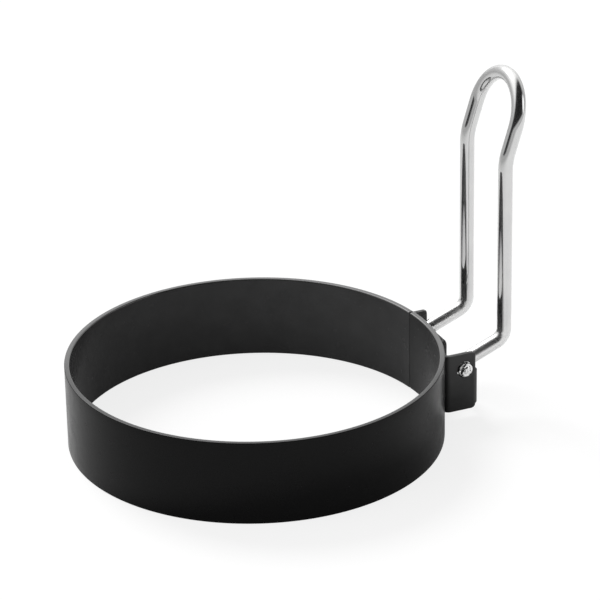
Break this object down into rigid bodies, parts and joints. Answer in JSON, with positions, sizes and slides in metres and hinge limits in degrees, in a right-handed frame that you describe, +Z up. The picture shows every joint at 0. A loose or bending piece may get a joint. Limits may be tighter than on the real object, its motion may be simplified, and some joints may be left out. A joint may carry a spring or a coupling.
{
  "type": "egg ring with folding handle",
  "caption": "Round egg ring: a low rolled steel band with a chromed wire handle that folds down over the ring from a sheet bracket.",
  "frame": {"origin": "on the ground under the middle of the bounding box; the ring's axis stands parallel to Z on the -X side of it", "axes": "+Z up, +X from the ring towards its handle, Y along the handle's hinge axis"},
  "size_m": [0.1132, 0.09, 0.0821],
  "materials": {
    "band_coating": "black non-stick coating on steel, satin",
    "bracket_coating": "black coating on steel sheet, slightly duller than the band",
    "wire_chrome": "bright chromed steel wire"
  },
  "bodies": {
    "ring": {"ring_band": "band_coating", "hinge_bracket": "bracket_coating"},
    "handle": {"wire_handle": "wire_chrome"}
  },
  "joints": [
    {"name": "handle_fold", "type": "hinge", "parent": "ring", "child": "handle", "pos_m": [0.03722, 0, 0.0125], "axis": [0, -1, 0], "range_deg": [0, 88]}
  ]
}
